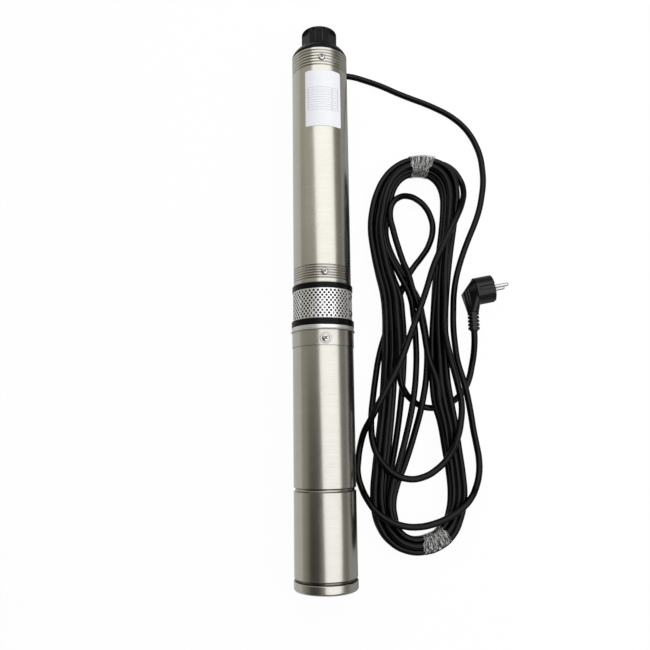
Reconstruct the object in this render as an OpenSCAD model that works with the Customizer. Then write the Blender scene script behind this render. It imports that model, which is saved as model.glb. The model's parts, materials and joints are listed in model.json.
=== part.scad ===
// Borehole submersible pump lying on a floor with its cable and plug, in millimetres.
// Y runs along the pump to its outlet, X points to the cable's side and Z is up.
// Pump pieces are drawn upright on local Z from the bottom cap; lay() puts them on the floor.
// Angles round the pump start at the side that faces up and grow towards +X.

/* [Motor] */
// Outside diameter of the motor shell
motor_d = 76; // [72:0.5:84]
// Wall of the motor shell
shell_wall = 1; // [0.8:0.1:1.5]
// Length of the motor shell
shell_len = 292.7; // [270:0.1:340]
// Height of the rolled groove above the shell's lower edge
groove_up = 102; // [90:0.5:120]
// Depth of the rolled groove
groove_depth = 2; // [1:0.1:2.5]
// Length of the widened mouth of the shell
bell_len = 19.4; // [17:0.1:24]
// Step in radius at the widened mouth
bell_step = 0.6; // [0.3:0.1:1]
// How far the bottom cap's rim stands out from the shell
cap_over = 0.5; // [0:0.25:2]
// Height of the bottom cap's rim
cap_h = 11.5; // [8:0.5:16]
// Gap between the cap's rim and the shell
cap_neck = 3; // [2:0.5:5]
// How far the top bracket's flange stands out from the shell
flange_over = 1.2; // [1:0.1:3]
// Height of the top bracket's flange
flange_h = 5.8; // [4:0.1:9]
// Diameter of the motor shaft
shaft_d = 15; // [12:0.5:16]

/* [Intake] */
// How far the ring below the screen stands out from the motor shell
lower_ring_over = 1.3; // [1:0.1:3]
// Height of the ring below the screen
lower_ring_h = 7.9; // [6:0.1:11]
// Diameter of the perforated screen
screen_d = 74.5; // [73:0.1:78]
// Height of the perforated screen
screen_h = 37.7; // [32:0.1:46]
// Wall of the perforated screen
screen_wall = 0.8; // [0.5:0.1:1.2]
// Diameter of the screen's holes
hole_d = 2.6; // [1.8:0.1:2.8]
// Rows of holes
hole_rows = 11; // [7:1:12]
// Holes in a full turn of one row
holes_round = 44; // [36:2:48]
// Diameter of the ring above the screen
upper_ring_d = 76.5; // [75:0.1:82]
// Height of the ring above the screen
upper_ring_h = 6.8; // [5:0.1:10]

/* [Pump] */
// Outside diameter of the sleeve
sleeve_d = 73; // [71:0.5:75]
// Wall of the sleeve
sleeve_wall = 0.8; // [0.6:0.1:1.2]
// Length of the sleeve
sleeve_len = 311.6; // [290:0.1:380]
// Rolled beads at each end of the sleeve
bead_count = 6; // [4:1:6]
// Depth of a bead
bead_depth = 0.5; // [0.3:0.05:0.6]
// Spacing of the beads at the top
top_bead_pitch = 4; // [3.4:0.1:4.2]
// Spacing of the beads at the bottom
low_bead_pitch = 3.2; // [2.8:0.1:3.6]
// Stages
stage_count = 8; // [6:1:8]
// Diameter of an impeller
impeller_d = 58; // [54:0.5:60]
// Width across the flats of the pump shaft
hex_af = 11; // [10:0.5:12]

/* [Outlet] */
// Height of the outlet head above the sleeve
head_h = 38.6; // [36:0.1:50]
// Diameter of the outlet hub
hub_d = 46.8; // [44:0.1:52]
// Width across the hub's wrench flats
hub_af = 41; // [40:0.1:44]
// Height of the sloping skirt
skirt_h = 15.5; // [12:0.1:18]
// Diameter of the hole for the pipe thread
thread_d = 30.3; // [28:0.1:32]
// Depth of the hole for the pipe thread
thread_len = 20; // [16:0.5:21]

/* [Cable] */
// Diameter of the cable
cord_d = 8.3; // [7:0.1:9]
// Wall of the cable guard
guard_wall = 0.8; // [0.6:0.1:1.2]
// Distance from the guard's upper end to the sleeve's top
guard_short = 31; // [29:0.5:34]

/* [Hank] */
// Height of the hank
hank_h = 23; // [20:0.5:26]
// Length of a film tie along the hank
tie_len = 34; // [28:1:36]

/* [Plug] */
// Diameter of the plug
plug_d = 36; // [35:0.5:39]
// Length of the plug's round part
plug_len = 24; // [20:0.5:28]
// Diameter of a pin
pin_d = 4.8; // [4:0.1:5]
// Length of a pin
pin_len = 19; // [17:0.5:21]
// Distance between the pins
pin_gap = 19; // [18:0.5:20]

/* [Hidden] */
$fn = 96;
fit = 0.1;
steel = [0.72, 0.71, 0.69];
dark_steel = [0.45, 0.45, 0.46];
black = [0.07, 0.07, 0.08];
rubber = [0.1, 0.1, 0.11];
copper = [0.72, 0.42, 0.22];
brass = [0.8, 0.68, 0.4];
cream = [0.82, 0.8, 0.72];
film = [0.85, 0.86, 0.88];

// Levels along the pump
z_shell = cap_h + cap_neck;
z_groove = z_shell + groove_up;
z_mouth = z_shell + shell_len;
z_bell = z_mouth - bell_len;
z_flange = z_mouth + flange_h;
z_screen = z_flange + lower_ring_h;
z_upper = z_screen + screen_h;
z_sleeve = z_upper + upper_ring_h;
z_rim = z_sleeve + sleeve_len;
z_top = z_rim + head_h;
low_spigot = 28.6;
top_spigot = 27;
spider_h = 12;
stage_h = (sleeve_len - low_spigot - top_spigot - spider_h) / stage_count;
z_stage = z_sleeve + low_spigot;
z_spider = z_stage + stage_h * stage_count;
z_spigot = z_spider + spider_h;
z_thread = z_top - thread_len;
z_joint = z_screen + screen_h * 0.6;
z_guard = z_screen + 8;
z_guard_end = z_rim - guard_short;
z_core = z_groove + 30;
z_core_end = z_bell - 34;

// Radii of the pump
r_shell = motor_d / 2;
r_shell_in = r_shell - shell_wall;
r_bell_in = r_shell_in + bell_step;
r_cap = r_shell + cap_over;
r_shaft = shaft_d / 2;
r_screen = screen_d / 2;
r_screen_in = r_screen - screen_wall;
r_sleeve = sleeve_d / 2;
r_sleeve_in = r_sleeve - sleeve_wall;
r_spigot = r_sleeve_in - bead_depth - 0.15;
r_stage = r_sleeve_in - 0.3;
r_cord = cord_d / 2;
r_hub = hub_d / 2;
r_flange = r_shell + flange_over;
r_lip = r_flange + 0.8;
r_lower = r_shell + lower_ring_over;
eye_r = 15;
hub_r = 9;
journal_r = 5;
bush_r = 8;
lead_r = r_shell - 9;
gland_r = 7;
seal_r = 14;
valve_r = 26;
chamber_r = 13.5;
stem_r = 2.9;

// Rolled groove of the shell
roll_r = groove_depth * 1.2;
roll_c = r_shell - groove_depth + roll_r;

// Ball bearings
ball_r = 3;
ball_ring_r = r_shaft + 5;
race_h = 11;
race_r = r_shaft + 10;
z_low_race = z_groove - 0.5;
z_up_race = z_bell - 13;

// Screws
screw_turn = 5;
head_r = 3.7;
head_dome = 2.4;
shank_r = 2;
shank_len = 5;
z_low_screw = z_sleeve + 13.5;
z_top_screw = z_rim - 14;
z_motor_screw = z_mouth - 11.2;
strip_turn = 67;
strip_half = 11;
guard_screw_turn = 15.5;
bolt_r = 27;

// Cable guard
guard_c = r_screen + r_cord + 0.3;
guard_in = r_cord + 0.35;
guard_out = guard_in + guard_wall;
r_guard = guard_c + guard_out;

// Resting on the cap's rim and the lower end of the guard tips the pump a little
lie = atan((r_guard - r_cap) / z_guard);
axis_z = r_cap * cos(lie);
y_mid = (z_top * cos(lie) + (r_hub - r_cap) * sin(lie)) / 2;

// Film ties: middle, turn and half the hank's width there
film_wall = 0.6;
tie_gap = 0.1;
top_tie = [137, 187, -3, 12];
low_tie = [135, -303, 30, 11];

// Plug on its side on the floor
plug_at = [224, 11.5];
plug_turn = 10.4;
back_x = 38.7;
cord_back = 32.3;
boot_start = 27;
boot_bend = 10.4;
boot_len = 24.3;
boot_r = 7.4;

boot_seat = 6;
pin_root = 6;
pin_neck = 0.6;
pin_tip = 1.5;

// Heights of the cable on the floor, over another strand and over the hank with its film
z_low = r_cord + 0.05;
z_hop = 3 * r_cord + 0.6;
z_on = hank_h + film_wall + r_cord + 0.3;
// Route of the loose cable from the guard to the hank
function under_guard(z) = [0, z * cos(lie) + guard_c * sin(lie) - y_mid,
                           axis_z + z * sin(lie) - guard_c * cos(lie)];
exit_point = under_guard(z_guard_end + 0.05);
run_points = [
    exit_point, under_guard(z_guard_end + 6), [1, 302, 11.5], [5, 312, 8.5], [13, 321, 6],
    [25, 328, z_low], [43, 330, z_low],
    [67, 321, z_low], [89, 312, z_low], [109, 302, z_low], [129, 293, z_low], [150, 284, z_low],
    [164, 277, z_low], [178, 269, z_low], [190, 260, z_low], [201, 249, z_low], [210, 236, z_low],
    [217, 221, z_low], [222, 204, z_low], [224, 185, z_low], [224, 166, z_low], [221, 146, z_low],
    [216, 125, z_low], [209, 106, z_low], [201, 88, z_low], [193, 69, z_low], [186, 50, z_low],
    [180, 30, z_low], [176, 9, z_low], [174, -14, z_low], [173, -37, z_low], [174, -61, z_low],
    [176, -83, 5.5], [180, -103, 9.5], [183, -119, z_hop], [186, -137, z_hop], [189, -154, 9.5],
    [192, -173, 5.5], [195, -191, z_low], [197, -209, 5], [195, -228, 9], [188, -245, 17],
    [181, -255, 24], [171, -265, z_on], [153, -277, z_on], [134, -285, z_on], [112, -289, z_on],
    [93, -287, z_on], [76, -280, z_on], [62, -270, 23], [52, -257, 13], [45, -242, 6],
    [42, -225, z_low], [43, -207, z_low], [46, -189, 8], [51, -172, 17], [58, -159, 26],
    [66, -144, z_on + 5], [76, -126, z_on + 8], [88, -105, z_on + 8.5], [98, -86, z_on + 7],
    [110, -57, z_on + 2], [123, -25, z_on - 1], [135, 7, z_on - 1], [148, 45, z_on], [163, 75, z_on],
    [178, 104, z_on - 1],
    [189, 129, 20], [194, 151, 12], [190, 170, 8], [180, 186, 6], [164, 194, 6]];
// Route from the plug's boot to the hank
boot_at = [plug_at[0] - cord_back * cos(plug_turn) + boot_start * sin(plug_turn),
           plug_at[1] - cord_back * sin(plug_turn) - boot_start * cos(plug_turn), plug_d / 2];
boot_way = [sin(plug_turn - boot_bend), -cos(plug_turn - boot_bend), 0];
plug_points = [
    boot_at + boot_way * (boot_len - boot_seat + 0.2), boot_at + boot_way * (boot_len + 3),
    [197.2, -57, 16.5], [196.6, -73, 11], [194, -90, 6], [190, -106, z_low], [183, -121, z_low],
    [173, -130, z_low], [163, -135, z_low]];

// Outline of the hank, with straight stretches under the film ties
function in_tie(tie, u, v) = [tie[0] + u * cos(tie[2]) - v * sin(tie[2]),
                              tie[1] + u * sin(tie[2]) + v * cos(tie[2])];
tie_reach = tie_len / 2 + 2;
hank_outer = [
    in_tie(top_tie, tie_reach, top_tie[3]), in_tie(top_tie, -tie_reach, top_tie[3]),
    [98, 195], [80, 180], [69, 156], [64, 126], [65, 90], [70, 40], [75, -10], [76, -54], [73, -100],
    [66, -160], [59, -215], [59, -238], [65, -262], [78, -290], [96, -311],
    in_tie(low_tie, -tie_reach, -low_tie[3]), in_tie(low_tie, tie_reach, -low_tie[3]),
    [171, -279], [177, -262], [179, -245], [178, -215], [174, -170], [169, -125], [167, -80], [167, -40],
    [169, -5], [173, 30], [178, 65], [182, 100], [185, 130], [184, 150], [177, 171]];
hank_inner = [
    in_tie(top_tie, tie_reach, -top_tie[3]), in_tie(top_tie, -tie_reach, -top_tie[3]),
    [110, 162], [105, 140], [103, 100], [104, 50], [104, 14], [102, -40], [97, -90], [93, -133],
    [89, -190], [87, -240], [92, -268], [103, -290],
    in_tie(low_tie, -tie_reach, low_tie[3]), in_tie(low_tie, tie_reach, low_tie[3]),
    [157, -266], [160, -252], [157, -215], [150, -160], [142, -107], [141, -60], [145, -5], [151, 45],
    [158, 95], [162, 132], [160, 155]];

module lay() {
    translate([0, -y_mid, axis_z]) rotate([lie - 90, 0, 0]) children();
}

// A plain ring between two levels
module ring(r0, r1, z0, z1) {
    rotate_extrude() translate([r0, z0]) square([r1 - r0, z1 - z0]);
}

// A ring with its two outer edges rounded
module soft_ring(r0, r1, z0, z1, low, high) {
    rotate_extrude() {
        translate([r0, z0 + low]) square([r1 - r0, z1 - z0 - low - high]);
        translate([r0, z0]) square([r1 - r0 - low, low + high]);
        translate([r0, z1 - low - high]) square([r1 - r0 - high, low + high]);
        translate([r1 - low, z0 + low]) circle(low);
        translate([r1 - high, z1 - high]) circle(high);
    }
}

// Copies round the pump
module around(count, start = 0) {
    for (i = [0:count - 1]) rotate([0, 0, start + i * 360 / count]) children();
}

// Stands a child on the pump's axis with its Z pointing out at an angle
module outward(turn, z) {
    rotate([0, 0, turn]) translate([0, 0, z]) rotate([90, 0, 0]) children();
}

// Unit vector and tube rings for a cable along a list of points
function unit(v) = v / norm(v);
function heading(p, i) = unit(p[min(i + 1, len(p) - 1)] - p[max(i - 1, 0)]);
function tube_ring(p, i, r, sides, side_ref) =
    let (t = heading(p, i), a = unit(cross(t, side_ref)), b = cross(a, t))
    [for (k = [0:sides - 1]) p[i] + r * (a * cos(k * 360 / sides) + b * sin(k * 360 / sides))];

module tube(p, r, sides, side_ref) {
    n = len(p);
    walls = [for (i = [0:n - 2]) for (k = [0:sides - 1])
        let (a = i * sides + k, b = i * sides + (k + 1) % sides)
        each [[a, a + sides, b], [b, a + sides, b + sides]]];
    first = [for (k = [0:sides - 1]) k];
    last = [for (k = [sides - 1:-1:0]) (n - 1) * sides + k];
    polyhedron([for (i = [0:n - 1]) each tube_ring(p, i, r, sides, side_ref)],
               concat(walls, [first, last]));
}

// Motor

module bottom_cap() {
    plug_h = 16;
    color(steel) lay() difference() {
        union() {
            soft_ring(0, r_cap, 0, cap_h, 3, 1);
            ring(0, r_shell - groove_depth - 0.5, cap_h - 1, z_shell);
            ring(0, r_shell_in - fit, z_shell, z_shell + plug_h);
        }
        ring(0, 22.2, 5, z_shell + plug_h + 1);
        o_ring_seat(z_shell + 8);
    }
}

module motor_shell_2d() {
    difference() {
        union() {
            translate([r_shell_in, z_shell + shell_wall])
                square([shell_wall, z_bell - z_shell]);
            translate([r_shell_in, z_shell + shell_wall]) intersection() {
                circle(shell_wall);
                translate([0, -shell_wall]) square(shell_wall);
            }
            translate([r_bell_in, z_bell]) square([shell_wall, bell_len]);
            intersection() {
                translate([roll_c, z_groove]) circle(roll_r + shell_wall);
                translate([0, z_groove - motor_d / 2]) square([r_shell, motor_d]);
            }
        }
        translate([roll_c, z_groove]) circle(roll_r);
    }
}

module motor_shell() {
    color(steel) lay() difference() {
        rotate_extrude() motor_shell_2d();
        for (i = [0:2]) outward(screw_turn + i * 120, z_motor_screw) cylinder(r = 3.1, h = motor_d);
    }
}

module run_capacitor() {
    color(dark_steel) lay() {
        soft_ring(0, 22, 5, z_groove - 26, 1, 2);
        translate([0, 0, z_groove - 27]) cylinder(r = 5, h = 7);
    }
}

module diaphragm() {
    color(rubber) lay() difference() {
        ring(0, r_shell_in - fit, z_groove - 11, z_groove - 8.5);
        translate([0, 0, z_groove - 11]) rotate_extrude() translate([24, 0]) circle(1.2);
    }
}

// Seat for an O-ring under the shell, and the O-ring
module o_ring_seat(z) {
    ring(r_shell_in - 3, r_shell, z - 1.8, z + 1.8);
}

module o_ring(z) {
    rotate_extrude() translate([r_shell_in - 1.5, z]) circle(1.45);
}

module o_rings() {
    color(rubber) lay() {
        o_ring(z_shell + 8);
        o_ring(z_groove + 7.5);
        o_ring(z_bell - 6);
    }
}

module lower_bracket() {
    color(dark_steel) lay() difference() {
        ring(0, r_shell_in - fit, z_groove - 8.5, z_groove + 12);
        ring(r_shell - groove_depth - shell_wall - 0.4, r_shell, z_groove - 3.6, z_groove + 3.6);
        o_ring_seat(z_groove + 7.5);
        translate([0, 0, z_low_race]) cylinder(r = race_r + 0.02, h = race_h + 3);
    }
}

// Stator with its slots, and the windings that fill them
slot_count = 24;
slot_w = 3.6;
slot_in = 21.5;
slot_out = 30;
bore_r = 20;

module stator_core() {
    color(dark_steel) lay() difference() {
        ring(bore_r, r_shell_in - fit, z_core, z_core_end);
        around(slot_count) translate([-slot_w / 2, slot_in, z_core - 1])
            cube([slot_w, slot_out - slot_in, z_core_end - z_core + 2]);
    }
}

module stator_winding() {
    turn_h = 13;
    gap = 0.15;
    color(copper) lay() {
        soft_ring(slot_in, slot_out + 1, z_core - turn_h, z_core - 0.2, 2, 1);
        soft_ring(slot_in, slot_out + 1, z_core_end + 0.2, z_core_end + turn_h, 1, 2);
        around(slot_count) translate([-slot_w / 2 + gap, slot_in + gap, z_core - 1])
            cube([slot_w - 2 * gap, slot_out - slot_in - 2 * gap, z_core_end - z_core + 2]);
    }
}

// Rotor
bar_count = 16;
bar_ring = 16.5;
bar_r = 1.8;
rotor_r = bore_r - 0.5;

module rotor_core() {
    color(dark_steel) lay() difference() {
        ring(r_shaft + 0.02, rotor_r, z_core, z_core_end);
        around(bar_count) translate([0, bar_ring, z_core - 1])
            cylinder(r = bar_r, h = z_core_end - z_core + 2);
    }
}

module rotor_cage() {
    end_h = 7;
    color(steel) lay() {
        ring(12, rotor_r - 0.3, z_core - end_h, z_core - 0.05);
        ring(12, rotor_r - 0.3, z_core_end + 0.05, z_core_end + end_h);
        around(bar_count) translate([0, bar_ring, z_core - 1])
            cylinder(r = bar_r - 0.05, h = z_core_end - z_core + 2);
    }
}

module motor_shaft() {
    color(steel) lay() translate([0, 0, z_low_race]) cylinder(r = r_shaft, h = z_joint - z_low_race);
}

// Ball bearing rings with a grooved track
module race(r0, r1, z) {
    difference() {
        ring(r0, r1, z, z + race_h);
        translate([0, 0, z + race_h / 2]) rotate_extrude() translate([ball_ring_r, 0]) circle(ball_r + 0.15);
    }
}

module outer_race(z) {
    color(steel) lay() race(ball_ring_r + 1.8, race_r, z);
}

module inner_race(z) {
    color(steel) lay() race(r_shaft + 0.02, ball_ring_r - 1.8, z);
}

module lower_race_outer() {
    outer_race(z_low_race);
}

module lower_race_inner() {
    inner_race(z_low_race);
}

module upper_race_outer() {
    outer_race(z_up_race);
}

module upper_race_inner() {
    inner_race(z_up_race);
}

module bearing_balls() {
    color(steel) lay() for (z = [z_low_race, z_up_race])
        around(8) translate([0, ball_ring_r, z + race_h / 2]) sphere(ball_r);
}

module top_bracket() {
    color(steel) lay() difference() {
        union() {
            soft_ring(0, r_flange, z_mouth, z_flange, 0.4, 0.4);
            soft_ring(0, r_lip, z_mouth, z_mouth + 1.4, 0.6, 0.6);
            ring(0, r_bell_in - fit, z_bell + 2, z_mouth + 1);
            ring(0, r_shell_in - fit, z_bell - 15, z_bell + 2);
        }
        translate([0, 0, z_bell - 16]) cylinder(r = r_shaft + 1.2, h = z_flange);
        translate([0, 0, z_bell - 16]) cylinder(r = race_r + 0.02, h = z_up_race + race_h - z_bell + 16);
        translate([0, 0, z_mouth - 8]) cylinder(r = seal_r, h = flange_h + 9);
        translate([0, lead_r, z_mouth - 4]) cylinder(r = gland_r, h = flange_h + 5);
        around(4, 45) translate([0, bolt_r, z_mouth - 8]) cylinder(r = 2.6, h = flange_h + 9);
        for (i = [0:2]) outward(screw_turn + i * 120, z_motor_screw) translate([0, 0, r_shell - 14])
            cylinder(r = 2.6, h = motor_d);
        o_ring_seat(z_bell - 6);
    }
}

// Screw with a domed cross-slot head; Z is out and its seat is at Z = 0
module screw(head, dome, shank, length) {
    difference() {
        rotate_extrude() intersection() {
            translate([0, dome - head * 2]) circle(head * 2);
            square([head, dome]);
        }
        for (a = [45, 135]) rotate([0, 0, a]) translate([-head * 0.55, -head * 0.12, dome * 0.5])
            cube([head * 1.1, head * 0.24, dome]);
    }
    translate([0, 0, -length]) cylinder(r = shank, h = length + dome * 0.3);
}

module motor_screws() {
    color(steel) lay() for (i = [0:2]) outward(screw_turn + i * 120, z_motor_screw)
        translate([0, 0, r_shell + bell_step + 0.05]) {
            screw(4.6, 2.8, 2.5, 11);
            rotate_extrude() translate([2, 0]) square([4.2, 0.9]);
        }
}

module shaft_seal() {
    color(rubber) lay() ring(r_shaft + 0.35, seal_r - 0.05, z_mouth - 8, z_mouth - 1);
}

module sand_slinger() {
    color(rubber) lay() rotate_extrude() {
        translate([r_shaft + 0.02, z_mouth + 1]) square([2.5, flange_h + 4]);
        translate([r_shaft + 0.02, z_mouth + 1]) square([5, 2]);
    }
}

// Intake

module intake_bracket() {
    color(black) lay() difference() {
        union() {
            soft_ring(lead_r - gland_r - 2, r_lower, z_flange, z_screen, 0.6, 0.6);
            ring(34, r_screen_in - fit, z_screen - 1, z_screen + 3);
            ring(34, r_screen_in - fit, z_upper - 3, z_upper + 1);
            soft_ring(25, upper_ring_d / 2, z_upper, z_sleeve, 0.6, 0.4);
            ring(28, r_spigot, z_sleeve - 1, z_stage);
            ring(eye_r + 0.4, 30, z_stage - 3.5, z_stage - 0.5);
            around(4, 45) translate([-3, -34.5, z_screen - 1]) cube([6, 7.5, screen_h + 2]);
            rotate([0, 0, strip_turn]) translate([-4.5, -r_screen_in + 0.5, z_screen - 1])
                cube([9, 6, screen_h + 2]);
        }
        around(4, 45) translate([0, bolt_r, z_flange - 1]) cylinder(r = 2.7, h = lower_ring_h + 2);
        around(4, 45) translate([0, bolt_r, z_screen - 3]) cylinder(r = 4.6, h = 9);
        translate([0, lead_r, z_flange - 1]) cylinder(r = gland_r, h = lower_ring_h + 2);
        translate([-guard_out - 0.4, r_screen_in - 3.2, z_screen - 0.5])
            cube([2 * guard_out + 0.8, 12, z_sleeve - z_screen + 1]);
        for (i = [0:2]) outward(screw_turn + i * 120, z_low_screw) cylinder(r = shank_r + 0.1, h = motor_d);
        for (z = screen_screw_levels) outward(strip_turn, z) cylinder(r = shank_r + 0.1, h = motor_d);
        for (s = [-1, 1]) outward(180 + s * guard_screw_turn, guard_screw_levels[0])
            cylinder(r = shank_r + 0.1, h = motor_d);
    }
}

module bracket_bolts() {
    color(steel) lay() around(4, 45) translate([0, bolt_r, z_screen - 2.95]) {
        difference() {
            cylinder(r = 4.2, h = 5);
            translate([0, 0, 2.5]) cylinder(r = 2.3, h = 3, $fn = 6);
        }
        translate([0, 0, -10]) cylinder(r = 2.5, h = 11);
    }
}

row_edge = 3.2;
row_pitch = (screen_h - 2 * row_edge) / (hole_rows - 1);
hole_step = 360 / holes_round;
screen_screw_levels = [z_screen + screen_h * 0.22, z_screen + screen_h * 0.8];
guard_screw_levels = [z_sleeve + 21, z_guard_end - 4];
seam_half = 14;

// True where a hole keeps clear of the plain strip and of the seam at the back
function open_at(turn) =
    abs(turn - strip_turn) > strip_half && abs(turn) < 180 - seam_half;

module intake_screen() {
    color(steel) lay() difference() {
        ring(r_screen_in, r_screen, z_screen + 0.05, z_upper - 0.05);
        translate([-guard_out - 0.8, 0, z_screen - 1]) cube([2 * guard_out + 1.6, motor_d, screen_h + 2]);
        for (z = screen_screw_levels) outward(strip_turn, z) cylinder(r = shank_r + 0.2, h = motor_d);
        for (row = [0:hole_rows - 1]) for (col = [0:holes_round - 1])
            let (turn = (col + (row % 2) / 2) * hole_step - 180)
            if (open_at(turn)) outward(turn, z_screen + row_edge + row * row_pitch)
                translate([0, 0, r_screen_in - 1]) cylinder(d = hole_d, h = screen_wall + 2);
    }
}

module coupling() {
    reach = 13;
    color(steel) lay() difference() {
        soft_ring(0, 12, z_joint - reach, z_joint + reach, 1, 1);
        translate([0, 0, z_joint - reach - 1]) cylinder(r = r_shaft + 0.02, h = reach + 1);
        hex_bar(z_joint - 1, z_joint + reach + 1, 0.05);
    }
}

module pan_screw() {
    screw(head_r, head_dome, shank_r, shank_len);
}

module pan_screws() {
    color(steel) lay() {
        for (i = [0:2]) for (z = [z_low_screw, z_top_screw])
            outward(screw_turn + i * 120, z) translate([0, 0, r_sleeve + 0.05]) pan_screw();
        for (z = screen_screw_levels)
            outward(strip_turn, z) translate([0, 0, r_screen + 0.05]) pan_screw();
        for (s = [-1, 1]) for (z = guard_screw_levels)
            outward(180 + s * guard_screw_turn, z) translate([0, 0, r_sleeve + guard_wall + 0.1]) pan_screw();
    }
}

// Hydraulic end

// Hexagonal bar along the axis, grown all round by a gap
module hex_bar(z0, z1, gap) {
    translate([0, 0, z0]) cylinder(r = (hex_af / 2 + gap) / cos(30), h = z1 - z0, $fn = 6);
}

module pump_shaft() {
    color(steel) lay() {
        hex_bar(z_joint + 0.1, z_spider + 0.5, 0);
        translate([0, 0, z_spider]) cylinder(r = journal_r, h = spider_h - 1);
    }
}

module bead_2d(z) {
    bead_r = bead_depth * 2.4;
    translate([r_sleeve + bead_r - bead_depth, z]) circle(bead_r);
}

module pump_sleeve() {
    beads = concat([for (i = [0:bead_count - 1]) z_sleeve + 6 + i * low_bead_pitch],
                   [for (i = [0:bead_count - 1]) z_rim - 3.5 - i * top_bead_pitch]);
    color(steel) lay() difference() {
        rotate_extrude() difference() {
            union() {
                translate([r_sleeve_in, z_sleeve]) square([sleeve_wall, sleeve_len]);
                for (z = beads) translate([-sleeve_wall, 0]) intersection() {
                    bead_2d(z);
                    translate([r_sleeve - bead_depth * 2, z - 5]) square([bead_depth * 2.5, 10]);
                }
            }
            for (z = beads) bead_2d(z);
        }
        for (i = [0:2]) for (z = [z_low_screw, z_top_screw])
            outward(screw_turn + i * 120, z) cylinder(r = shank_r + 0.2, h = motor_d);
        for (s = [-1, 1]) for (z = guard_screw_levels)
            outward(180 + s * guard_screw_turn, z) cylinder(r = shank_r + 0.2, h = motor_d);
    }
}

// Curved blades between two radii: one arc of a ring, repeated round the axis
module blades_2d(r0, r1, wall, count) {
    arc_r = (r0 + r1 + 3) / 2;
    around(count) intersection() {
        translate([arc_r - r0 + 1, 0]) difference() {
            circle(arc_r + wall / 2);
            circle(arc_r - wall / 2);
        }
        difference() {
            circle(r1);
            circle(r0);
        }
        translate([-r1, 0]) square([2 * r1, r1]);
    }
}

module impeller(index) {
    z0 = z_stage + (index - 1) * stage_h;
    r1 = impeller_d / 2;
    color(cream) lay() translate([0, 0, z0]) difference() {
        union() {
            ring(eye_r - 1.8, eye_r, -2, 3);
            ring(eye_r - 0.9, r1, 2, 3.6);
            ring(hub_r - 1, r1, 8.6, 10.2);
            ring(0, hub_r, -2, stage_h - 2.05);
            translate([0, 0, 2.6]) linear_extrude(6.8) blades_2d(eye_r - 0.5, r1 - 0.4, 1.6, 6);
        }
        hex_bar(-3, stage_h, 0.08);
    }
}

module diffuser(index) {
    z0 = z_stage + (index - 1) * stage_h;
    wall_r = r_stage - 2.2;
    color(black) lay() translate([0, 0, z0]) {
        ring(wall_r, r_stage, 0.02, stage_h - 0.02);
        ring(hub_r + 0.6, impeller_d / 2 + 1, stage_h * 0.56, stage_h * 0.62);
        ring(eye_r + 0.4, r_stage - 1, stage_h - 2.5, stage_h - 0.02);
        translate([0, 0, stage_h * 0.6]) linear_extrude(stage_h * 0.4 - 1.5)
            blades_2d(eye_r + 1, wall_r + 0.8, 1.8, 7);
    }
}

module bearing_spider() {
    color(black) lay() difference() {
        union() {
            ring(28, r_stage, z_spider + 0.02, z_spigot);
            ring(bush_r + 0.02, bush_r + 3, z_spider + 1, z_spigot);
            around(3, 60) translate([-2.5, bush_r + 1, z_spider + 2]) cube([5, 28 - bush_r, spider_h - 4]);
        }
        for (s = [-1, 1]) outward(180 + s * guard_screw_turn, guard_screw_levels[1])
            cylinder(r = shank_r + 0.1, h = motor_d);
    }
}

module bearing_bush() {
    color(rubber) lay() ring(journal_r + 0.05, bush_r, z_spider + 1, z_spigot);
}

// Outlet

// Skirt outline: a convex arc from the sleeve's rim up to the hub
module skirt_2d() {
    edge = 3;
    arc_r = 22;
    from = [r_sleeve, edge];
    to = [r_hub, skirt_h];
    mid = (from + to) / 2;
    half = norm(to - from) / 2;
    side = unit([-(to[1] - from[1]), to[0] - from[0]]);
    centre = mid + side * sqrt(arc_r * arc_r - half * half);
    intersection() {
        square([r_sleeve, skirt_h]);
        translate(centre) circle(arc_r);
    }
}

module hub_outside() {
    base = z_rim + skirt_h / 2;
    collar = 2.5;
    rib_w = 10;
    intersection() {
        soft_ring(0, r_hub, base, z_top, 0.5, 1.2);
        translate([0, 0, base]) cylinder(r = hub_af / 2 / cos(30), h = z_top, $fn = 6);
    }
    soft_ring(0, r_hub, z_top - collar, z_top, 0.6, 1.2);
    for (turn = [0, 180]) rotate([0, 0, turn]) translate([-rib_w / 2, -r_hub + 0.4, base])
        cube([rib_w, 5, z_top - base - 1.5]);
}

module valve_guide() {
    guide_h = 5;
    z0 = z_thread - 9;
    ring(stem_r + 0.4, stem_r + 2.6, z0, z0 + guide_h);
    around(3) translate([-1.25, stem_r + 1.6, z0]) cube([2.5, chamber_r - stem_r, guide_h]);
}

module discharge_head() {
    color(black) lay() {
        difference() {
            union() {
                ring(0, r_spigot, z_spigot + 0.02, z_rim + 1);
                translate([0, 0, z_rim + 0.02]) rotate_extrude() skirt_2d();
                hub_outside();
            }
            translate([0, 0, z_spigot - 1]) cylinder(r = valve_r, h = top_spigot - 3);
            translate([0, 0, z_rim - 4.01]) cylinder(r1 = valve_r, r2 = chamber_r, h = 12);
            translate([0, 0, z_rim]) cylinder(r = chamber_r, h = z_top);
            translate([0, 0, z_thread]) cylinder(r = thread_d / 2, h = thread_len + 1);
            for (i = [0:2]) outward(screw_turn + i * 120, z_top_screw) translate([0, 0, r_spigot - 4.2])
                cylinder(r = shank_r + 0.1, h = motor_d);
        }
        valve_guide();
    }
}

module valve_seat() {
    color(rubber) lay() soft_ring(12, valve_r - 0.2, z_spigot + 0.05, z_spigot + 6, 0.5, 0.5);
}

module valve_poppet() {
    z0 = z_spigot + 6.05;
    color(cream) lay() rotate_extrude() {
        translate([0, z0]) square([16, 3]);
        translate([0, z0 + 2]) polygon([[0, 0], [14, 0], [stem_r, 5], [0, 5]]);
        translate([0, z0]) square([stem_r, z_thread - 4 - z0]);
    }
}

// Cable on the pump

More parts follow.
